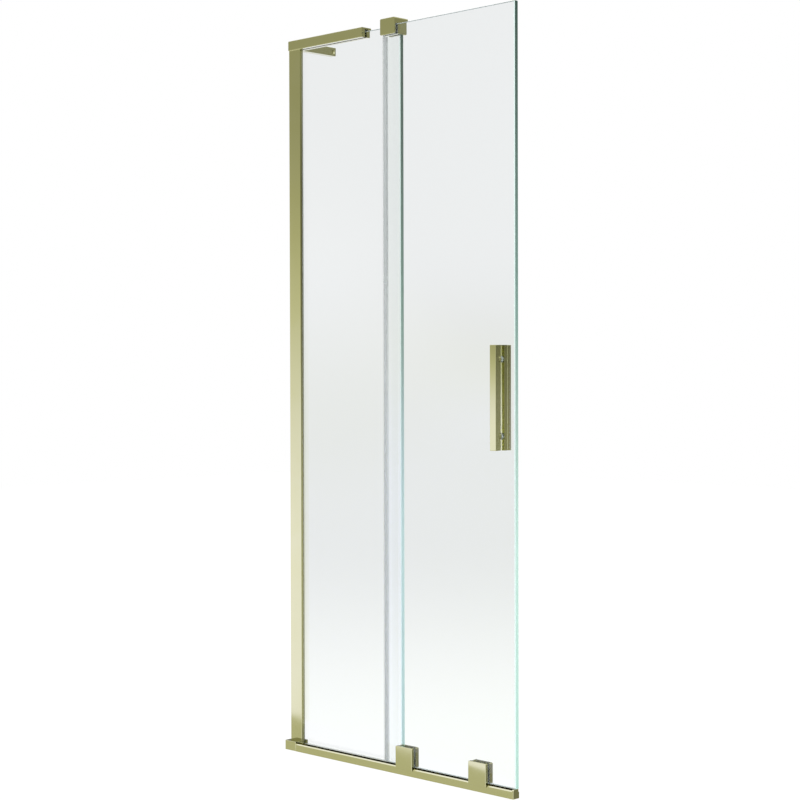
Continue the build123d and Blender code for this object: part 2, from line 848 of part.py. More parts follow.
def handle_bushes():
    bushes = Part()
    for level in handle_post_levels:
        bushes += glass_bush(handle_x, level, handle_bush_radius, handle_stud_radius)
    return bushes


# The fixed frame
parts["wall_channel"] = wall_channel()
parts["wall_profile"] = wall_profile()
parts["profile_lock_screws"] = lock_screws()
parts["profile_screw_caps"] = lock_screw_caps()
parts["front_glazing_gasket"] = glazing_gasket(-1)
parts["rear_glazing_gasket"] = glazing_gasket(1)
parts["fixed_glass"] = fixed_glass()
parts["fixed_glass_seal"] = fixed_glass_seal()
parts["header_rail"] = header_rail()
parts["header_gasket"] = header_gasket()
parts["header_grub_screws"] = header_grub_screws()
parts["wall_arm"] = wall_arm()
parts["arm_screw"] = arm_screw()
parts["top_guide_body"] = top_guide_body()
parts["top_guide_liner"] = top_guide_liner()
parts["guide_clamp_pads"] = guide_clamp_pads()
parts["guide_clamp_screws"] = guide_clamp_screws()
parts["bottom_rail"] = bottom_rail()
parts["rail_wall_bracket"] = rail_wall_bracket()
parts["rail_end_cap"] = rail_end_cap()
parts["rail_fixing_screws"] = rail_fixing_screws()
parts["left_track_stop"] = track_stop(left_stop_face, -1)
parts["right_track_stop"] = track_stop(right_stop_face, 1)
parts["track_stop_screws"] = track_stop_screws()
parts["track_bumpers"] = track_bumpers()

# The sliding pane with its handle
parts["moving_glass"] = moving_glass()
parts["edge_seal"] = edge_seal()
parts["handle_front_bar"] = handle_bar(-1)
parts["handle_rear_bar"] = handle_bar(1)
parts["handle_front_posts"] = handle_posts(-1)
parts["handle_rear_posts"] = handle_posts(1)
parts["handle_washers"] = handle_washers()
parts["handle_studs"] = handle_studs()
parts["handle_bushes"] = handle_bushes()

# The two trolleys, each with two wheels
for name, place in trolley_places.items():
    parts[f"{name}_trolley_shell"] = trolley_front_shell(place)
    parts[f"{name}_trolley_carriage"] = trolley_carriage(place)
    parts[f"{name}_trolley_liner"] = trolley_liner(place)
    bush = glass_bush(place, clamp_screw_level, glass_bush_radius, clamp_screw_radius)
    parts[f"{name}_clamp_bush"] = bush
    parts[f"{name}_clamp_screw"] = clamp_screw(place)
    parts[f"{name}_axle_pins"] = axle_pins(place)
    wall_side, free_side = wheel_places(place)
    parts[f"{name}_trolley_wheel_1"] = wheel(wall_side)
    parts[f"{name}_trolley_wheel_2"] = wheel(free_side)

for name, part in parts.items():
    export_step(part, f"parts/{name}.step")
print(f"The pane slides {slide_travel:.1f} mm towards the wall, from stop to stop")
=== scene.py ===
# %% [markdown]
# A sliding bath screen in clear glass and pale polished gold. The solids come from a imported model, at
# their real size and place, and this notebook gives them their looks: glass that shows the colour of its
# own thickness, metal that mirrors the room softly, clear seals, rubber and nylon. The model is loaded
# first, because every finished piece is placed by it and rides on one of its bodies.

# %% Load the frame
import json
from math import cos, pi, radians, sin

import bmesh
import bpy
from mathutils import Matrix, Vector


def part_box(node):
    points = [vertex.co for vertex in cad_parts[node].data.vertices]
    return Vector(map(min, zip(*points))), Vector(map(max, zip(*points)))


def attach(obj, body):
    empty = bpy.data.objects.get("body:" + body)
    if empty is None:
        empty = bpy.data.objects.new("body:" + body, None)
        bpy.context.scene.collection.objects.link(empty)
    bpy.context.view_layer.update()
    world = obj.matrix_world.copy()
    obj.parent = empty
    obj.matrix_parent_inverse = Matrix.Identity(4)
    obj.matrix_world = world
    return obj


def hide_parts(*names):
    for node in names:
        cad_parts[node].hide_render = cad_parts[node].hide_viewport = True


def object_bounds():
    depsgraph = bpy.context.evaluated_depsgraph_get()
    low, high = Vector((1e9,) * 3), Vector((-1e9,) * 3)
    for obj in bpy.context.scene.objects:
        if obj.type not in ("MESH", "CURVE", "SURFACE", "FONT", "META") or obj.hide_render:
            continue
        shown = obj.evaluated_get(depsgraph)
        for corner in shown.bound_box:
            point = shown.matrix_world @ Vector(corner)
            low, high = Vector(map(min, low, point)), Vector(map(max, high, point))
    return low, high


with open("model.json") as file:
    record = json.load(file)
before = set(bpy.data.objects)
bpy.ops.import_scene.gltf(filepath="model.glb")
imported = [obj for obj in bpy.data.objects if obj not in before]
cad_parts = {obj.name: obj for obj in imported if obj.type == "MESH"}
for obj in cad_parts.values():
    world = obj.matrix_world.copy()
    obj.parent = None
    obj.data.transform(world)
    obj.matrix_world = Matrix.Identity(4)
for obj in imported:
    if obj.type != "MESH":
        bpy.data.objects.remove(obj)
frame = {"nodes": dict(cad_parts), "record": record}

scene = bpy.context.scene
cad_nodes = frame["nodes"]
cad_low, cad_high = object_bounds()
MM = 0.001
print("CAD box in mm:", [round(side / MM, 1) for side in cad_high - cad_low])

# %% [markdown]
# The camera stands on the room side, off the free end of the screen, and looks back along it at 45
# degrees. Its place and angles were found by fitting the screen's own corners. Yaw turns it from the bath
# side towards the wall, pitch tips it down a little, and roll levels the uprights. The three unit vectors
# of its frame are worked out here and put into one matrix, because that keeps the three angles apart.

# %% Camera
camera_place = Vector((2854.5, -2519.9, 802.4)) * MM
camera_yaw = radians(45.057)
camera_pitch = radians(0.855)
camera_roll = radians(-0.129)
lens_mm = 80.09
sensor_mm = 36.0
far_clip = 100.0

level_reach = cos(camera_pitch)
forward = Vector((-cos(camera_yaw) * level_reach, sin(camera_yaw) * level_reach, -sin(camera_pitch)))
level_right = forward.cross(Vector((0, 0, 1))).normalized()
level_up = level_right.cross(forward)
camera_right = level_right * cos(camera_roll) + level_up * sin(camera_roll)
camera_up = level_up * cos(camera_roll) - level_right * sin(camera_roll)
camera_turn = Matrix((camera_right, camera_up, -forward)).transposed().to_4x4()

camera = bpy.data.objects.new("camera", bpy.data.cameras.new("camera"))
scene.collection.objects.link(camera)
camera.data.lens = lens_mm
camera.data.sensor_width = sensor_mm
camera.data.clip_end = far_clip
camera.matrix_world = Matrix.Translation(camera_place) @ camera_turn
scene.camera = camera
sliding_low, sliding_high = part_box("moving_glass")
pane_middle = (sliding_low + sliding_high) / 2
print("camera to sliding pane:", round((camera_place - pane_middle).length, 2), "m")

# %% [markdown]
# Materials and the world are both node trees. One small helper adds a node with its settings and feeds
# its inputs, which keeps each recipe short enough to read as a list of steps. A few more name the sums
# that come back often. A colour that is the same all over is written on the shader's own socket.


# %% Node helpers
def add_node(tree, kind, inputs=None, **settings):
    """Adds a node. Each input is a plain value, or the output socket that feeds it."""
    made = tree.nodes.new(kind)
    for name, value in settings.items():
        setattr(made, name, value)
    for name, value in (inputs or {}).items():
        if isinstance(value, bpy.types.NodeSocket):
            tree.links.new(value, made.inputs[name])
        else:
            made.inputs[name].default_value = value
    return made


def mapped(tree, value, low, high, to_low=0.0, to_high=1.0):
    """A value carried smoothly from one range to another, and held at its ends."""
    ranges = {"Value": value, "From Min": low, "From Max": high, "To Min": to_low, "To Max": to_high}
    made = add_node(tree, "ShaderNodeMapRange", ranges, interpolation_type="SMOOTHSTEP")
    return made.outputs["Result"]


def worked_out(tree, operation, a, b=0.0):
    return add_node(tree, "ShaderNodeMath", {0: a, 1: b}, operation=operation).outputs["Value"]


def times(tree, a, b):
    return worked_out(tree, "MULTIPLY", a, b)


def plus(tree, a, b):
    return worked_out(tree, "ADD", a, b)


def the_rest(tree, share):
    return worked_out(tree, "SUBTRACT", 1.0, share)


def colour_between(tree, share, start, end):
    """A colour that goes from one to the other as the share goes from 0 to 1."""
    ramp = add_node(tree, "ShaderNodeValToRGB", {"Fac": share})
    ramp.color_ramp.elements[0].color = (*start, 1.0)
    ramp.color_ramp.elements[1].color = (*end, 1.0)
    return ramp.outputs["Color"]


def mixed_shader(tree, share, start, end):
    """The output of a mix of two shaders, which is all of the second where the share is 1."""
    sockets = {0: share, 1: start.outputs[0], 2: end.outputs[0]}
    return add_node(tree, "ShaderNodeMixShader", sockets)


# %% [markdown]
# Polished metal has no colour of its own apart from what it mirrors, so most of its look comes from the
# room. On the room side that is a bright white panel low down. Upwards it fades into warmer, dimmer
# light, and the fade is short straight across from the handle and long towards the wall. Under the panel
# a floor begins with a sharp line, and a soft light hangs overhead. Behind the screen is a dimmer
# bathroom. Its one bright place is low down by the wall, and only the undersides mirror that. All of it
# is a function of the height and the compass point of the mirrored ray. The panel's fade has two heights
# for its start and two for its end, one straight across and one along the wall. Every other fade gives
# the heights where it starts and ends, then the tones at those heights.

# %% The mirrored room
scene.view_settings.view_transform = "Standard"
world = bpy.data.worlds.new("studio")
scene.world = world
world.use_nodes = True
sky = world.node_tree
sky.nodes.clear()

floor_line = -0.1945
floor_line_half_width = 0.001
floor_line_slope = 0.42
panel_tone = 1.40
upper_tone = 0.50
floor_tone = 0.75
across, along = -0.745, -0.665
panel_fade_starts = (-0.035, -0.110)
panel_fade_ends = (0.030, 0.160)

direction = add_node(sky, "ShaderNodeTexCoord").outputs["Generated"]
compass = add_node(sky, "ShaderNodeSeparateXYZ", {"Vector": direction}).outputs
height, to_free_end, to_bath = compass["Z"], compass["X"], compass["Y"]
line_edges = (floor_line - floor_line_half_width, floor_line + floor_line_half_width)
sideways = worked_out(sky, "ABSOLUTE", to_bath)
line_fall = times(sky, plus(sky, sideways, along), floor_line_slope)
above_floor = mapped(sky, plus(sky, height, line_fall), *line_edges)

fade_start = mapped(sky, to_bath, across, along, *panel_fade_starts)
fade_end = mapped(sky, to_bath, across, along, *panel_fade_ends)
room = mapped(sky, height, fade_start, fade_end, panel_tone, upper_tone)
room = times(sky, room, mapped(sky, above_floor, 0.0, 1.0, floor_tone / panel_tone, 1.0))

overhead_fade = (0.35, 0.65, 0.0, 1.2)
overhead_on_bath_side = 0.4
low_bath_fade = (-0.12, 0.07, 0.50, 0.14)
high_bath_fade = (0.10, 0.18, 0.0, 0.23)
bath_floor_share = 0.58
by_the_wall_fade = (-0.06, 0.06, 1.05, 0.23)

overhead = mapped(sky, height, *overhead_fade)
bath_levels = plus(sky, mapped(sky, height, *low_bath_fade), mapped(sky, height, *high_bath_fade))
free_end = times(sky, bath_levels, mapped(sky, height, *line_edges, bath_floor_share, 1.0))
by_the_wall = mapped(sky, height, *by_the_wall_fade)
free_end_share = mapped(sky, to_free_end, -0.3, 0.3)
wall_share = the_rest(sky, free_end_share)
bath = plus(sky, times(sky, free_end, free_end_share), times(sky, by_the_wall, wall_share))

on_bath_side = mapped(sky, to_bath, -0.4, 0.3)
on_room_side = the_rest(sky, on_bath_side)
room_share = times(sky, plus(sky, room, overhead), on_room_side)
dimmed_overhead = times(sky, overhead, overhead_on_bath_side)
bath_share = times(sky, plus(sky, bath, dimmed_overhead), on_bath_side)
mirrored = plus(sky, room_share, bath_share)

cool_from, cool_to = 0.6, 1.5
dim_light, bright_light = (0.67, 0.67, 0.585), (0.67, 0.67, 1.0)
coolness = mapped(sky, mirrored, cool_from, cool_to)
mirrored_colour = colour_between(sky, coolness, dim_light, bright_light)
print("room tones: panel", panel_tone, "upper", upper_tone, "floor", floor_tone)

# %% [markdown]
# The camera sees plain white. Seen through glass, the backdrop is a shade off white above the bath rim
# and white below it, which is what makes clear glass readable against a white page. It is a little warm
# where the glass also mirrors the cool panel, and a little brighter below the floor line, so that the
# sum of what a pane shows and what it mirrors stays neutral. A ray that metal has mirrored once keeps to
# the mirrored room, even where it goes on through a pane, so the glossy depth of the ray chooses it and
# not its last bounce. Diffuse light is even, and comes from soft light all round.

# %% Studio world
seen_high_fade = (-0.05, 0.08, 0.79, 0.93)
seen_low_fade = (-0.21, -0.09, 0.21, 0.0)
lift_below_line = 0.07
facing_panel_fade = (-0.05, 0.06, 1.0, 0.0)
neutral_backdrop, warm_backdrop = (0.98, 0.98, 1.0), (0.975, 0.985, 0.90)
room_gain = 1.0 / 0.67
soft_light_strength = 0.75
white = (1.0, 1.0, 1.0, 1.0)


def backdrop(**inputs):
    return add_node(sky, "ShaderNodeBackground", inputs)


seen = plus(sky, mapped(sky, height, *seen_high_fade), mapped(sky, height, *seen_low_fade))
seen = plus(sky, seen, mapped(sky, above_floor, 0.0, 1.0, lift_below_line, 0.0))
facing_panel = times(sky, mapped(sky, height, *facing_panel_fade), above_floor)
warmth = times(sky, facing_panel, on_bath_side)
seen_tint = colour_between(sky, warmth, neutral_backdrop, warm_backdrop)

soft_light = backdrop(Color=white, Strength=soft_light_strength)
seen_through = backdrop(Color=seen_tint, Strength=seen)
seen_in_metal = backdrop(Color=mirrored_colour, Strength=times(sky, mirrored, room_gain))
page_white = backdrop(Color=white, Strength=1.0)

rays = add_node(sky, "ShaderNodeLightPath").outputs
mirrored_once = worked_out(sky, "MINIMUM", rays["Glossy Depth"], 1.0)
mirror_rays = times(sky, mirrored_once, the_rest(sky, rays["Is Diffuse Ray"]))
shader = mixed_shader(sky, rays["Is Transmission Ray"], soft_light, seen_through)
shader = mixed_shader(sky, mirror_rays, shader, seen_in_metal)
shader = mixed_shader(sky, rays["Is Camera Ray"], shader, page_white)
add_node(sky, "ShaderNodeOutputWorld", {"Surface": shader.outputs[0]})
print("world:", len(sky.nodes), "nodes")

# %% [markdown]
# Three soft lamps light what isn't mirror or glass: the seals, the rubber, the nylon and the cut edges
# of the panes. One is large and high on the room side, one fills in from the free end, low down, and one
# is behind. The floor is a pale sheet. To the camera most of it is plain white, and the rest is lit, so
# that it keeps a faint shadow where the rail stands.


# %% Lamps and floor
def soft_lamp(name, place, aim, size, power):
    lamp = bpy.data.lights.new(name, "AREA")
    lamp.shape = "DISK"
    lamp.size = size
    lamp.energy = power
    holder = bpy.data.objects.new(name, lamp)
    scene.collection.objects.link(holder)
    holder.location = place
    holder.rotation_euler = (Vector(aim) - Vector(place)).to_track_quat("-Z", "Y").to_euler()
    holder.visible_glossy = False
    holder.visible_transmission = False


middle = (cad_low + cad_high) / 2
soft_lamp("high_room_lamp", (-1.2, -2.6, 3.0), middle, 1.6, 60)
soft_lamp("low_end_lamp", (2.2, -0.6, 0.3), middle, 0.8, 12)
soft_lamp("bath_side_lamp", (1.0, 2.6, 2.4), middle, 1.4, 30)

floor_half = 8.0
white_share = 0.9
glow_strength = 1.06
sheet = bmesh.new()
bmesh.ops.create_grid(sheet, x_segments=1, y_segments=1, size=floor_half)
floor_mesh = bpy.data.meshes.new("floor")
sheet.to_mesh(floor_mesh)
sheet.free()
floor = bpy.data.objects.new("floor", floor_mesh)
scene.collection.objects.link(floor)
floor.visible_glossy = False
floor.visible_transmission = False

pale = bpy.data.materials.new("pale_floor")
pale.use_nodes = True
tree = pale.node_tree
tree.nodes.clear()
lit = add_node(tree, "ShaderNodeBsdfDiffuse", {"Color": (0.92, 0.92, 0.92, 1.0)})
glow = add_node(tree, "ShaderNodeEmission", {"Color": white, "Strength": glow_strength})
camera_rays = add_node(tree, "ShaderNodeLightPath").outputs["Is Camera Ray"]
floor_look = mixed_shader(tree, times(tree, camera_rays, white_share), lit, glow)
add_node(tree, "ShaderNodeOutputMaterial", {"Surface": floor_look.outputs[0]})
floor_mesh.materials.append(pale)
print("lamps and floor are in place")

# %% [markdown]
# The gold is a thin bright plating over polished metal, and its colour is a greenish pale gold. The
# plating isn't quite even: broad soft patches are a little duller and a little deeper in colour than the
# rest, and fine lines run the way each bar was drawn through its die. The lines are noise stretched along
# that direction, so there is one material for each direction, made by the same function.


# %% Gold plating
def principled(name, values):
    """A material and its Principled shader, with plain values on the shader's own sockets."""
    material = bpy.data.materials.new(name)
    material.use_nodes = True
    surface = material.node_tree.nodes["Principled BSDF"]
    for socket, value in values.items():
        surface.inputs[socket].default_value = value
    return material, surface


def object_place(tree):
    return add_node(tree, "ShaderNodeTexCoord").outputs["Object"]


def noise(tree, scale, stretch=(1.0, 1.0, 1.0), detail=3.0):
    """Noise in the object's own coordinates, in repeats a metre, stretched along an axis."""
    mapping = {"Vector": object_place(tree), "Scale": stretch}
    stretched = add_node(tree, "ShaderNodeMapping", mapping).outputs["Vector"]
    settings = {"Vector": stretched, "Scale": scale, "Detail": detail}
    return add_node(tree, "ShaderNodeTexNoise", settings).outputs["Fac"]


def roughness_from(tree, surface, pattern, low, high):
    tree.links.new(mapped(tree, pattern, 0.3, 0.7, low, high), surface.inputs["Roughness"])


def bump_from(tree, surface, pattern, strength, depth_mm):
    settings = {"Height": pattern, "Strength": strength, "Distance": depth_mm * MM}
    bumped = add_node(tree, "ShaderNodeBump", settings).outputs["Normal"]
    tree.links.new(bumped, surface.inputs["Normal"])


gold_values = {"Metallic": 1.0, "Coat Weight": 0.15, "Coat Roughness": 0.03}
light_plating = (0.55, 0.54, 0.267)
deep_plating = (0.54, 0.53, 0.248)
patches_a_metre = 9.0
lines_a_metre = 2500.0
line_stretch = 0.01


def gold(name, drawn_along):
    material, surface = principled(name, gold_values)
    tree = material.node_tree
    patches = noise(tree, patches_a_metre)
    roughness_from(tree, surface, patches, 0.025, 0.05)
    plating = colour_between(tree, mapped(tree, patches, 0.35, 0.65), light_plating, deep_plating)
    tree.links.new(plating, surface.inputs["Base Color"])
    stretch = tuple(line_stretch if axis == drawn_along else 1.0 for axis in "XYZ")
    bump_from(tree, surface, noise(tree, lines_a_metre, stretch), strength=0.01, depth_mm=0.01)
    return material


gold_for = {axis: gold(f"gold_drawn_along_{axis.lower()}", axis) for axis in "XYZ"}
gold_for["cast"] = gold("gold_polished_all_ways", "")
print("gold:", ", ".join(material.name for material in gold_for.values()))

# %% [markdown]
# Clear glass needs four materials. Through its faces a pane is nearly colourless. The upright edges that
# stay in view show light that has run the long way inside the sheet, so they are green, and over that
# green
# a shade is painted: deep near the top as painted shade, and pale at the foot as painted light. Beside
# each of them a narrow strip of the face has a painted glow, a pale green painted highlight. The level
# edges, and those under a seal, stay pale. Rays from lamps pass straight through the faces, because light
# bent by flat glass goes nearly straight on, and following it would leave grain.

# %% Glass
clear_values = {
    "Base Color": (0.965, 0.985, 0.975, 1.0),
    "Transmission Weight": 1.0,
    "IOR": 1.5,
    "Roughness": 0.0,
}
green_values = {"Roughness": 0.25, "Coat Weight": 0.6, "Coat Roughness": 0.03}
# The rim strip's pale green, only partly see-through, is a painted glow: a painted highlight beside the
# edge.
painted_glow_values = {"Base Color": (0.76, 0.96, 0.91, 1.0), "Transmission Weight": 0.6, "IOR": 1.5}
pale_edge_values = {"Base Color": (0.60, 0.68, 0.66, 1.0), "Coat Weight": 0.5}
lamp_light_passed = (0.9, 0.93, 0.92, 1.0)
# Edge greens by height in metres. The darkening towards the top is painted shade, and the pale foot is
# painted light.
greens_and_painted_shade_by_level = (
    (0.100, (0.42, 0.66, 0.58)),
    (0.470, (0.47, 0.68, 0.61)),
    (0.660, (0.36, 0.52, 0.46)),
    (0.940, (0.19, 0.31, 0.27)),
    (1.130, (0.135, 0.215, 0.185)),
    (1.280, (0.080, 0.140, 0.118)),
    (1.420, (0.050, 0.100, 0.080)),
    (1.500, (0.020, 0.065, 0.048)),
)


def clear_glass():
    material, surface = principled("clear_glass", clear_values)
    tree = material.node_tree
    bump_from(tree, surface, noise(tree, 3.0, detail=0.0), strength=0.02, depth_mm=1.0)
    lamp_rays = add_node(tree, "ShaderNodeLightPath").outputs["Is Shadow Ray"]
    see_through = add_node(tree, "ShaderNodeBsdfTransparent", {"Color": lamp_light_passed})
    both = mixed_shader(tree, lamp_rays, surface, see_through)
    tree.links.new(both.outputs[0], tree.nodes["Material Output"].inputs["Surface"])
    return material


def level_in(tree):
    """The height above the bath rim in metres, from the object's own coordinates."""
    return add_node(tree, "ShaderNodeSeparateXYZ", {"Vector": object_place(tree)}).outputs["Z"]


def upright_edge_with_painted_shade():
    """Glass green with painted shade by the height: painted pale at the foot and deep at the top."""
    material, surface = principled("glass_upright_edge_painted_shade", green_values)
    tree = material.node_tree
    top = greens_and_painted_shade_by_level[-1][0]
    ramp = add_node(tree, "ShaderNodeValToRGB", {"Fac": times(tree, level_in(tree), 1.0 / top)})
    stops = ramp.color_ramp.elements
    stops[0].position, stops[0].color = greens_and_painted_shade_by_level[0][0] / top, (*greens_and_painted_shade_by_level[0][1], 1.0)
    stops[1].position, stops[1].color = 1.0, (*greens_and_painted_shade_by_level[-1][1], 1.0)
    for stop_level, green in greens_and_painted_shade_by_level[1:-1]:
        stops.new(stop_level / top).color = (*green, 1.0)
    tree.links.new(ramp.outputs["Color"], surface.inputs["Base Color"])
    bump_from(tree, surface, noise(tree, 900.0, detail=1.0), strength=0.06, depth_mm=0.05)
    return material


def small_finish(name, values, rough, grain, depth_mm, stretch=(1.0, 1.0, 1.0), relief=0.2):
    """A finish whose roughness and fine relief both come from one noise pattern."""
    material, surface = principled(name, values)
    tree = material.node_tree
    pattern = noise(tree, grain, stretch)
    roughness_from(tree, surface, pattern, *rough)
    bump_from(tree, surface, pattern, relief, depth_mm)
    return material


FACE, GREEN_EDGE_PAINTED_SHADE, PAINTED_GLOW_RIM, PALE_EDGE = range(4)
pane_materials = [
    clear_glass(),
    upright_edge_with_painted_shade(),
    small_finish("glass_painted_glow_rim", painted_glow_values, (0.02, 0.06), 400.0, 0.01, relief=0.02),
    small_finish("glass_pale_edge", pale_edge_values, (0.25, 0.35), 900.0, 0.05, relief=0.06),
]
print("glass:", ", ".join(material.name for material in pane_materials))

# %% [markdown]
# The small parts have plain finishes with a little texture each: matt rubber with a fine grain, moulded
# nylon, brushed steel and raw aluminium from the die. The seals are thin clear PVC. Most of the light
# goes straight through each of its skins, and the rest makes it a soft grey, so its alpha is low. Near
# the bath its alpha is painted lower still, as painted light that stands in for the bright backdrop
# washing the grey out.

# %% Rubber, nylon, seals and screws
seal_values = {"Base Color": (0.62, 0.64, 0.64, 1.0), "IOR": 1.46}
rubber_values = {"Base Color": (0.035, 0.035, 0.035, 1.0)}
nylon_values = {
    "Base Color": (0.83, 0.82, 0.78, 1.0),
    "Subsurface Weight": 0.1,
    "Subsurface Scale": 0.5 * MM,
}
steel_values = {"Base Color": (0.56, 0.56, 0.57, 1.0), "Metallic": 1.0}
plastic_values = {"Base Color": (0.06, 0.06, 0.06, 1.0)}
mill_values = {"Base Color": (0.70, 0.70, 0.71, 1.0), "Metallic": 1.0}
long_grain = (1.0, 1.0, 0.05)
die_lines = (1.0, 1.0, 0.02)
finish_for = {
    "black_rubber": small_finish("black_rubber", rubber_values, (0.55, 0.75), 1800.0, 0.05),
    "clear_seal": small_finish("clear_seal", seal_values, (0.25, 0.35), 300.0, 0.02, long_grain),
    "white_nylon": small_finish("white_nylon", nylon_values, (0.35, 0.5), 1200.0, 0.03),
    "steel": small_finish("brushed_steel", steel_values, (0.2, 0.35), 2500.0, 0.02),
    "dark_plastic": small_finish("dark_plastic", plastic_values, (0.35, 0.5), 1500.0, 0.03),
    "mill_aluminium": small_finish("mill_aluminium", mill_values, (0.3, 0.45), 2000.0, 0.03, die_lines),
}

# The seal's alpha falls towards the bath rim: painted light that makes the seal paler low down.
seal_painted_light_fade = (0.75, 1.15, 0.27, 0.38)
seal_tree = finish_for["clear_seal"].node_tree
seal_alpha_painted_light = mapped(seal_tree, level_in(seal_tree), *seal_painted_light_fade)
seal_tree.links.new(seal_alpha_painted_light, seal_tree.nodes["Principled BSDF"].inputs["Alpha"])
print("small finishes:", ", ".join(finish_for))

# %% [markdown]
# Each solid arrives as loose triangles. A finished piece starts as a copy of them that is merged into one
# skin, with the triangles of each flat face dissolved back into one face. Then its sharp edges get a
# small round, because a real edge always has one, and on polished metal that is where the light catches.


# %% Finished copies of the solids
def skin_of(node):
    """The solid's shape as one merged bmesh, with its flat faces whole."""
    skin = bmesh.new()
    skin.from_mesh(cad_nodes[node].data)
    bmesh.ops.remove_doubles(skin, verts=skin.verts, dist=0.002 * MM)
    bmesh.ops.dissolve_limit(skin, angle_limit=radians(0.5), verts=skin.verts, edges=skin.edges)
    return skin


def round_edges(skin, width, over_degrees=30.0, steps=2):
    sharp_turn = radians(over_degrees)
    sharp = [edge for edge in skin.edges if edge.is_manifold and edge.calc_face_angle() > sharp_turn]
    bmesh.ops.bevel(
        skin, geom=sharp, offset=width, offset_type="OFFSET", affect="EDGES",
        segments=steps, profile=0.5, material=-1, clamp_overlap=True,
    )


def place_piece(skin, name, body, materials, stands_for=(), smooth_degrees=35.0):
    """Turns a bmesh into a piece that rides on a body, stands for nodes and has a slot."""
    mesh = bpy.data.meshes.new(name)
    skin.to_mesh(mesh)
    skin.free()
    for material in materials:
        mesh.materials.append(material)
    mesh.shade_smooth()
    mesh.set_sharp_from_angle(angle=radians(smooth_degrees))
    piece = bpy.data.objects.new(name, mesh)
    scene.collection.objects.link(piece)
    even = piece.modifiers.new("even_shine", "WEIGHTED_NORMAL")
    even.keep_sharp = True
    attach(piece, body)
    if stands_for:
        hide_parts(*stands_for)
    return piece


bodies = frame["record"]["behaviour"]["bodies"]
body_of = {name: body for body, names in bodies.items() for name in names}
slot_of = {part["node"]: part["material_slot"] for part in frame["record"]["subparts"]}

rear_flange_cut = 10.0 * MM
web_clearance = 0.3 * MM
face_tolerance = 0.1 * MM
fixed_low, fixed_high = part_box("fixed_glass")
shortened_pieces = ("wall_profile", "rear_glazing_gasket")


def shorten_rear_flange(skin):
    """Draws back what is behind the pane and out past the web, so that the front flange hides it."""
    web_face = fixed_low.x + web_clearance
    for vert in skin.verts:
        if vert.co.y > fixed_high.y - face_tolerance and vert.co.x > web_face:
            vert.co.x = max(vert.co.x - rear_flange_cut, web_face)


def finished(node, material, rounding_mm):
    skin = skin_of(node)
    if node in shortened_pieces:
        shorten_rear_flange(skin)
    round_edges(skin, rounding_mm * MM)
    made = place_piece(skin, f"{node}_finished", body_of[node], [material], [node])
    print(f"{made.name}: {len(made.data.vertices)} vertices")


drawn_bars = {
    "wall_profile": ("Z", 0.25),
    "header_rail": ("X", 0.3),
    "wall_arm": ("Y", 0.3),
    "top_guide_body": ("X", 0.3),
    "bottom_rail": ("X", 0.2),
    "handle_front_bar": ("Z", 0.25),
    "handle_rear_bar": ("Z", 0.25),
}
for node, (axis, rounding) in drawn_bars.items():
    finished(node, gold_for[axis], rounding)
finished("rear_glazing_gasket", finish_for["clear_seal"], 0.1)

cast_rounding = 0.25
cast_pieces = ["rail_wall_bracket", "rail_end_cap", "handle_front_posts", "handle_rear_posts"]
cast_pieces += ["profile_screw_caps"]
for side in ("left", "right"):
    cast_pieces += [f"{side}_trolley_shell", f"{side}_trolley_carriage"]
for node in cast_pieces:
    finished(node, gold_for["cast"], cast_rounding)

# %% [markdown]
# Two plain forms are missing from the solids. The header is a channel, and a strip on each side of the
# pane closes it to a slot, flush with its bottom and its free end. Each handle bar has a web that runs to
# the glass over its two round posts, slim behind the front bar and almost full width at the rear one.
# A block is a cube of unit size, stretched to its box and given the same small round as the other bars.


# %% Slot strips and handle webs
def add_block(skin, low, high):
    made = bmesh.ops.create_cube(skin, size=1.0)["verts"]
    bmesh.ops.scale(skin, vec=high - low, verts=made)
    bmesh.ops.translate(skin, vec=(low + high) / 2, verts=made)


header_wall = 3.0 * MM
slot_gap = 0.6 * MM
seam = 0.1 * MM
block_rounding = 0.2 * MM
header_low, header_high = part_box("header_rail")
packing_low, packing_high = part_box("header_gasket")
packing_end = packing_high.x + seam
inside_front, inside_rear = header_low.y + header_wall, header_high.y - header_wall
strips = bmesh.new()
for near, far in ((inside_front, fixed_low.y - slot_gap), (fixed_high.y + slot_gap, inside_rear)):
    under_packing = Vector((packing_end, far, packing_low.z - seam))
    add_block(strips, Vector((fixed_low.x, near, header_low.z)), under_packing)
    past_packing = Vector((header_high.x, far, packing_high.z))
    add_block(strips, Vector((packing_end + seam, near, header_low.z)), past_packing)
round_edges(strips, block_rounding)
place_piece(strips, "header_slot_strips", "screen_frame", [gold_for["X"]])

front_web_half, rear_web_half = 3.0 * MM, 7.2 * MM
glass_gap = 0.3 * MM
for side, outwards, web_half in (("front", -1, front_web_half), ("rear", 1, rear_web_half)):
    bar_low, bar_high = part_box(f"handle_{side}_bar")
    centre_x = (bar_low.x + bar_high.x) / 2
    glass_face = (sliding_high.y + glass_gap) * outwards
    bar_face = bar_high.y if outwards < 0 else bar_low.y
    near, far = sorted((glass_face, bar_face + seam * outwards))
    web = bmesh.new()
    web_low = Vector((centre_x - web_half, near, bar_low.z))
    add_block(web, web_low, Vector((centre_x + web_half, far, bar_high.z)))
    round_edges(web, block_rounding)
    place_piece(web, f"handle_{side}_web", "sliding_panel", [gold_for["Z"]])
print("strips in the header, webs behind the handle bars")

# %% [markdown]
# The panes are copies too. The direction of a face chooses its material: every face that looks along Y is
# one of the two big faces, and the rest are edges. The edge that stays in view is the upright one on the
# free side, and it alone is green, with painted shade over it. One cut across the sheet, a few
# millimetres in from that edge, parts off the strip with the painted glow.

# %% Panes
rim_width = 3.5 * MM
squarely = 0.9


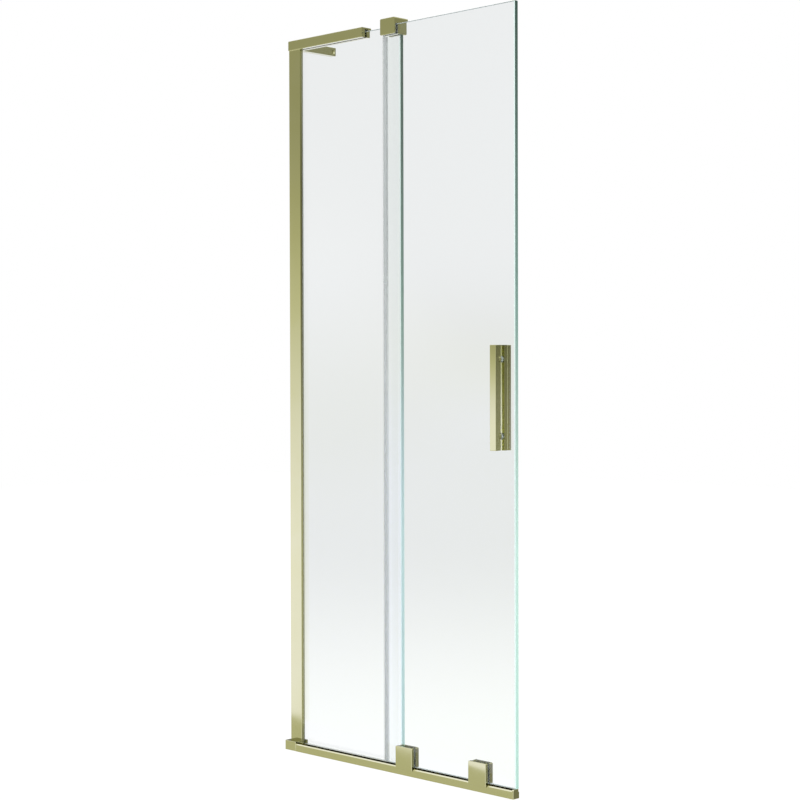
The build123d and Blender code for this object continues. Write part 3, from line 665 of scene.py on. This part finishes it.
def pane(node):
    low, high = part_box(node)
    skin = skin_of(node)
    everything = list(skin.verts) + list(skin.edges) + list(skin.faces)
    cut_place = (high.x - rim_width, 0.0, 0.0)
    bmesh.ops.bisect_plane(skin, geom=everything, plane_co=cut_place, plane_no=(1.0, 0.0, 0.0))
    for face in skin.faces:
        in_rim = high.x - face.calc_center_median().x < rim_width
        if abs(face.normal.y) > squarely:
            face.material_index = PAINTED_GLOW_RIM if in_rim else FACE
        else:
            upright = abs(face.normal.z) < squarely
            face.material_index = GREEN_EDGE_PAINTED_SHADE if in_rim and upright else PALE_EDGE
    counts = [0] * len(pane_materials)
    for face in skin.faces:
        counts[face.material_index] += 1
    name = f"{node}_finished"
    place_piece(skin, name, body_of[node], pane_materials, [node], 20.0)
    print(f"{name}: faces by material {counts}")


pane("fixed_glass")
pane("moving_glass")

# %% [markdown]
# Socket screws are turned, then their socket is pressed in as a hexagon. So a screw starts as two rings
# on its end face, a round one and one of six sides, with a bridge between them. The hexagon is carried
# down for the socket. The round one is carried on step by step, as a lathe would cut it: a small chamfer,
# the head, and a thread, here as plain rings a pitch apart, because nobody can see that they aren't a
# helix at this size. Each screw takes the place of one solid of its node, read from the frame.


# %% Socket screws
def solids_of(node):
    """The boxes of a node's separate solids, as pairs of their low and high corners."""
    skin = skin_of(node)
    boxes = []
    waiting = set(skin.verts)
    while waiting:
        island, edge_of_island = set(), [waiting.pop()]
        while edge_of_island:
            vert = edge_of_island.pop()
            island.add(vert)
            joined = {edge.other_vert(vert) for edge in vert.link_edges} & waiting
            waiting -= joined
            edge_of_island += joined
        places = [vert.co for vert in island]
        low = Vector([min(place[axis] for place in places) for axis in range(3)])
        high = Vector([max(place[axis] for place in places) for axis in range(3)])
        boxes.append((low, high))
    skin.free()
    return sorted(boxes, key=lambda box: box[0].x)


def next_ring(skin, ring, grow, drop):
    """Carries a ring of edges on by one step, wider or narrower and further down."""
    made = bmesh.ops.extrude_edge_only(skin, edges=ring)["geom"]
    corners = [part for part in made if isinstance(part, bmesh.types.BMVert)]
    bmesh.ops.scale(skin, vec=(grow, grow, 1.0), verts=corners)
    bmesh.ops.translate(skin, vec=(0.0, 0.0, -drop), verts=corners)
    new_edges = [part for part in made if isinstance(part, bmesh.types.BMEdge)]
    return [edge for edge in new_edges if edge.verts[0] in corners and edge.verts[1] in corners]


screw_chamfer = 0.25 * MM
thread_pitch = 0.7 * MM
thread_root = 0.9
socket_share = 0.5
socket_depth = 1.5 * MM


def edges_at(verts):
    return list({edge for vert in verts for edge in vert.link_edges})


def add_screw(skin, radius, length, turn_to_place, head=None):
    """Adds one screw. A head is given as its height and the narrower radius of the shank."""
    before = set(skin.verts)
    end_radius = radius - screw_chamfer
    rim = bmesh.ops.create_circle(skin, segments=32, radius=end_radius)["verts"]
    hexagon = bmesh.ops.create_circle(skin, segments=6, radius=radius * socket_share)["verts"]
    rim_ring, socket_ring = edges_at(rim), edges_at(hexagon)
    bmesh.ops.bridge_loops(skin, edges=rim_ring + socket_ring)
    socket_floor = next_ring(skin, socket_ring, 1.0, socket_depth)
    bmesh.ops.edgeloop_fill(skin, edges=socket_floor)
    ring = next_ring(skin, rim_ring, radius / end_radius, screw_chamfer)
    done = screw_chamfer
    if head:
        head_height, shank_radius = head
        ring = next_ring(skin, ring, 1.0, head_height - screw_chamfer)
        ring = next_ring(skin, ring, shank_radius / radius, 0.0)
        done = head_height
    while done + thread_pitch < length:
        ring = next_ring(skin, ring, thread_root, thread_pitch / 2)
        ring = next_ring(skin, ring, 1.0 / thread_root, thread_pitch / 2)
        done += thread_pitch
    ring = next_ring(skin, ring, thread_root, length - done)
    bmesh.ops.edgeloop_fill(skin, edges=ring)
    made = [vert for vert in skin.verts if vert not in before]
    bmesh.ops.transform(skin, matrix=turn_to_place, verts=made)


head_to_bath = Matrix.Rotation(-pi / 2, 4, "X")


def screws_for(node, upright, head=None):
    """Screws in place of the node's solids, with their heads up or towards the bath."""
    skin = bmesh.new()
    solids = solids_of(node)
    for low, high in solids:
        centre = (low + high) / 2
        size = high - low
        if upright:
            length = size.z
            turn_to_place = Matrix.Translation((centre.x, centre.y, high.z))
        else:
            length = size.y
            turn_to_place = Matrix.Translation((centre.x, high.y, centre.z)) @ head_to_bath
        add_screw(skin, size.x / 2, length, turn_to_place, head)
    bmesh.ops.recalc_face_normals(skin, faces=skin.faces)
    name = f"{node}_turned"
    made = place_piece(skin, name, body_of[node], [finish_for["steel"]], [node])
    print(f"{name}: {len(solids)} screws, {len(made.data.polygons)} faces")


clamp_screw_head = (3.8 * MM, 2.9 * MM)
screws_for("header_grub_screws", upright=False)
screws_for("guide_clamp_screws", upright=False)
screws_for("track_stop_screws", upright=True)
for side in ("left", "right"):
    screws_for(f"{side}_clamp_screw", upright=False, head=clamp_screw_head)

# %% [markdown]
# Each trolley wheel is a nylon tyre pressed on a small ball bearing. Half of its section is drawn as a
# line of corners and spun about the axle. The tyre's shoulders are rounded, a shallow step on each side
# parts it from the bearing, and the faces nearer the axle than that step are steel.

# %% Trolley wheels
bore = 1.55 * MM
inner_race = 0.7 * MM
bearing = 3.2 * MM
bearing_step = 0.35 * MM
race_step = 0.1 * MM
shoulder = 0.5 * MM
groove_slope = (0.1 * MM, 0.05 * MM)
shoulder_turns = [radians(angle) for angle in (30, 60, 90)]


def wheel_section(radius, half_width):
    """The corners of the section, as distances from the axle and along it."""
    side_line = [
        (bore, half_width - race_step),
        (bore + inner_race, half_width - race_step),
        (bore + inner_race + groove_slope[0], half_width - bearing_step),
        (bearing, half_width - bearing_step),
        (bearing + groove_slope[1], half_width),
        (radius - shoulder, half_width),
    ]
    inside_radius, inside_width = radius - shoulder, half_width - shoulder
    for turn in shoulder_turns:
        side_line.append((inside_radius + shoulder * sin(turn), inside_width + shoulder * cos(turn)))
    return side_line + [(out, -along_axle) for out, along_axle in reversed(side_line)]


def wheel_piece(node):
    low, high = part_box(node)
    axle = (low + high) / 2
    radius, half_width = (high.x - low.x) / 2, (high.y - low.y) / 2
    skin = bmesh.new()
    section = wheel_section(radius, half_width)
    corners = [skin.verts.new((out, along_axle, 0.0)) for out, along_axle in section]
    lines = [skin.edges.new(pair) for pair in zip(corners, corners[1:] + corners[:1])]
    bmesh.ops.spin(
        skin, geom=corners + lines, cent=(0.0, 0.0, 0.0), axis=(0.0, 1.0, 0.0),
        angle=2 * pi, steps=48, use_merge=True,
    )
    bmesh.ops.recalc_face_normals(skin, faces=skin.faces)
    for face in skin.faces:
        centre = face.calc_center_median()
        face.material_index = 1 if Vector((centre.x, centre.z)).length < bearing else 0
    bmesh.ops.translate(skin, vec=axle, verts=skin.verts)
    finishes = [finish_for["white_nylon"], finish_for["steel"]]
    made = place_piece(skin, f"{node}_spun", body_of[node], finishes, [node])
    print(f"{made.name}: rides on {body_of[node]}, radius {round(radius / MM, 2)} mm")


for side in ("left", "right"):
    for number in (1, 2):
        wheel_piece(f"{side}_trolley_wheel_{number}")

# %% [markdown]
# Every other solid keeps its own mesh, which is already the right shape, and only takes its finish.

# %% Finishes for the remaining solids
for node, solid in cad_nodes.items():
    if not solid.hide_render:
        solid.data.materials.clear()
        solid.data.materials.append(finish_for[slot_of[node]])
print("plain finishes on", sum(not solid.hide_render for solid in cad_nodes.values()), "solids")
